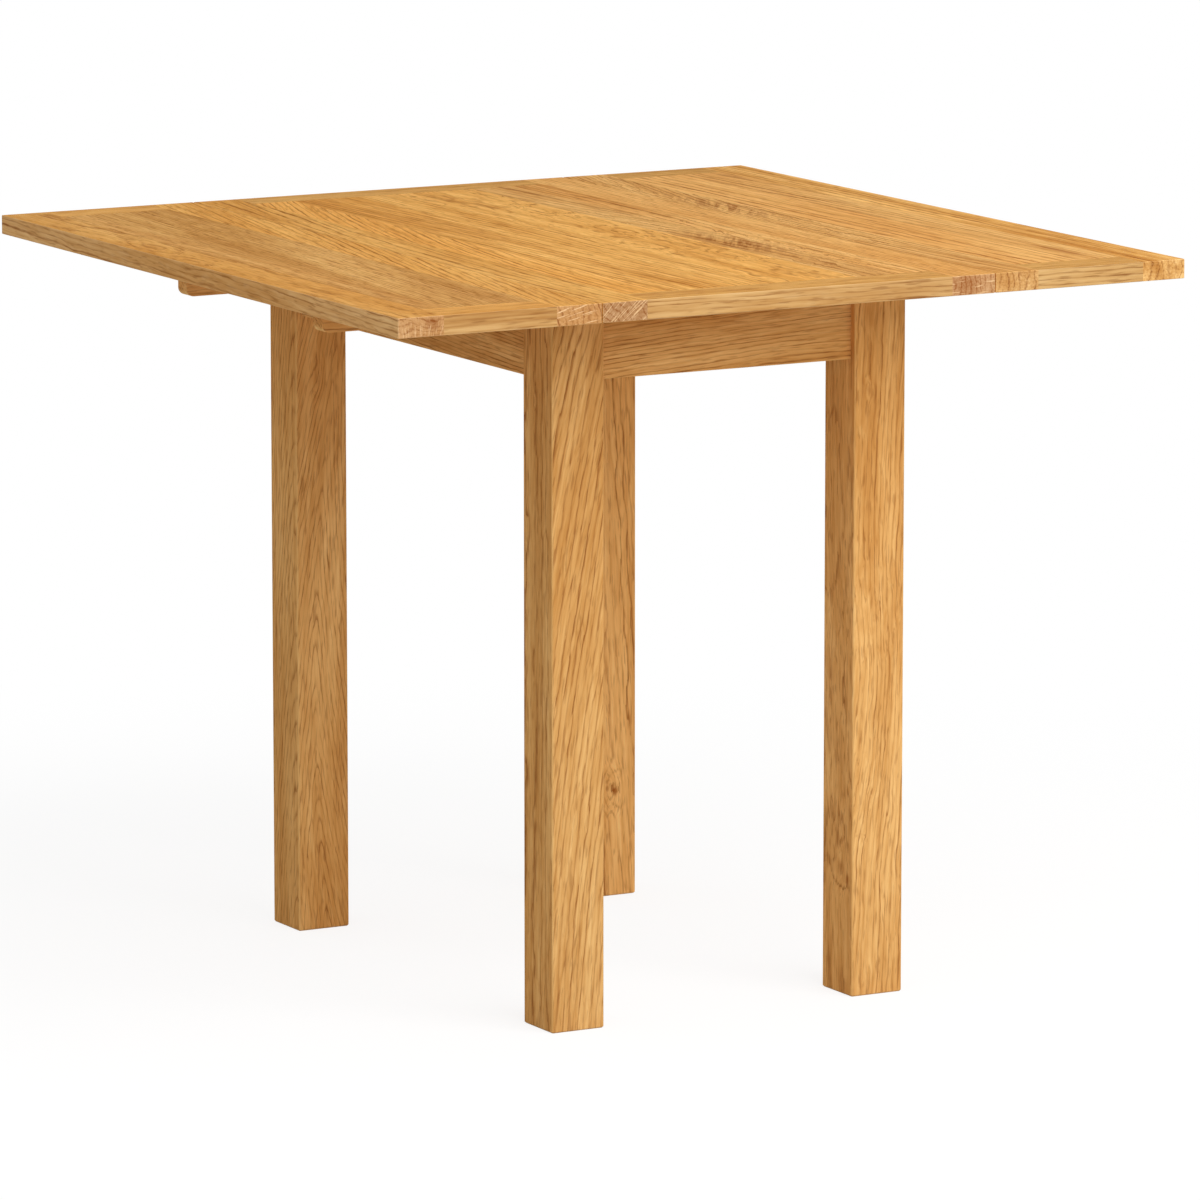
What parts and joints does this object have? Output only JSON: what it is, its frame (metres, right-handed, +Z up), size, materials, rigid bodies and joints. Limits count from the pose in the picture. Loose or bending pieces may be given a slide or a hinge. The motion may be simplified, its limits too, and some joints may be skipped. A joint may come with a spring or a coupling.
{
  "type": "drop-leaf dining table",
  "caption": "Square oak dining table on square legs, with hinged side leaves that drop down and sliding bars that hold them up.",
  "frame": {"origin": "on the floor, under the middle of the table", "axes": "+X across the leaves, towards the right one, +Y along the hinge lines, away from the viewer, +Z up"},
  "size_m": [0.9, 0.9, 0.76],
  "materials": {
    "oak_top": "satin",
    "oak_base": "satin",
    "oak_bars": "satin",
    "steel": "satin"
  },
  "bodies": {
    "frame": {"apron_back": "oak_base", "apron_front": "oak_base", "apron_left": "oak_base", "apron_right": "oak_base", "centre_board_1": "oak_top", "centre_board_2": "oak_top", "centre_board_3": "oak_top", "centre_board_4": "oak_top", "centre_board_5": "oak_top", "centre_board_6": "oak_top", "centre_rail_back": "oak_top", "centre_rail_front": "oak_top", "centre_stile_left": "oak_top", "centre_stile_right": "oak_top", "corner_bracket_back_left": "steel", "corner_bracket_back_right": "steel", "corner_bracket_front_left": "steel", "corner_bracket_front_right": "steel", "corner_bracket_screws": "steel", "hanger_bolt_nuts": "steel", "hanger_bolt_washers": "steel", "hanger_bolts": "steel", "hinge_frame_screws": "steel", "left_hinge_frame_flaps": "steel", "left_hinge_pins": "steel", "leg_back_left": "oak_base", "leg_back_right": "oak_base", "leg_front_left": "oak_base", "leg_front_right": "oak_base", "right_hinge_frame_flaps": "steel", "right_hinge_pins": "steel", "top_bracket_screws": "steel", "top_brackets": "steel"},
    "left_leaf": {"left_bar_keepers": "steel", "left_hinge_leaf_flaps": "steel", "left_leaf_board_inner": "oak_top", "left_leaf_board_outer": "oak_top", "left_leaf_rail_back": "oak_top", "left_leaf_rail_front": "oak_top", "left_leaf_screws": "steel", "left_leaf_stile_inner": "oak_top", "left_leaf_stile_outer": "oak_top"},
    "right_leaf": {"right_bar_keepers": "steel", "right_hinge_leaf_flaps": "steel", "right_leaf_board_inner": "oak_top", "right_leaf_board_outer": "oak_top", "right_leaf_rail_back": "oak_top", "right_leaf_rail_front": "oak_top", "right_leaf_screws": "steel", "right_leaf_stile_inner": "oak_top", "right_leaf_stile_outer": "oak_top"},
    "left_bar_front": {"left_bar_front_stop_pins": "steel", "left_support_bar_front": "oak_bars"},
    "left_bar_back": {"left_bar_back_stop_pins": "steel", "left_support_bar_back": "oak_bars"},
    "right_bar_front": {"right_bar_front_stop_pins": "steel", "right_support_bar_front": "oak_bars"},
    "right_bar_back": {"right_bar_back_stop_pins": "steel", "right_support_bar_back": "oak_bars"}
  },
  "joints": [
    {"name": "left_leaf_drop", "type": "hinge", "parent": "frame", "child": "left_leaf", "pos_m": [-0.225, 0, 0.7362], "axis": [0, -1, 0], "range_deg": [0, 90]},
    {"name": "right_leaf_drop", "type": "hinge", "parent": "frame", "child": "right_leaf", "pos_m": [0.225, 0, 0.7362], "axis": [0, 1, 0], "range_deg": [0, 90]},
    {"name": "left_bar_front_slide", "type": "slide", "parent": "left_leaf", "child": "left_bar_front", "axis": [-1, 0, 0], "range_m": [-0.06, 0]},
    {"name": "left_bar_back_slide", "type": "slide", "parent": "left_leaf", "child": "left_bar_back", "axis": [-1, 0, 0], "range_m": [-0.06, 0]},
    {"name": "right_bar_front_slide", "type": "slide", "parent": "right_leaf", "child": "right_bar_front", "axis": [1, 0, 0], "range_m": [-0.06, 0]},
    {"name": "right_bar_back_slide", "type": "slide", "parent": "right_leaf", "child": "right_bar_back", "axis": [1, 0, 0], "range_m": [-0.06, 0]}
  ]
}
